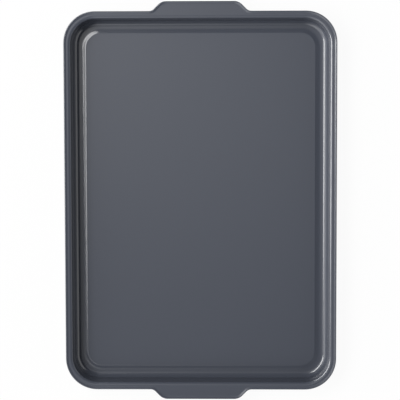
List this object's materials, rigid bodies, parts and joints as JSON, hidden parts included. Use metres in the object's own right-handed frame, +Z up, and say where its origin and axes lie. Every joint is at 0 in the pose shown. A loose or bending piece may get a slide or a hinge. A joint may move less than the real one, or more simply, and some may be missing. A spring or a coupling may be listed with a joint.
{
  "type": "cookie sheet",
  "caption": "Shallow rectangular baking sheet with rounded corners, a raised floor inside a groove, a rolled rim and a wide grip tab at each end.",
  "frame": {"origin": "on the surface that the sheet stands on, under the middle of its floor", "axes": "+Z up out of the open side, +Y along the sheet towards one grip tab, +X across it"},
  "size_m": [0.3078, 0.451, 0.0254],
  "materials": {
    "coated_steel": "dark grey non-stick coating with a soft satin gloss",
    "bare_steel": "drawn galvanised wire"
  },
  "bodies": {
    "root": {"pressed_sheet": "coated_steel", "rim_wire": "bare_steel"}
  },
  "joints": []
}
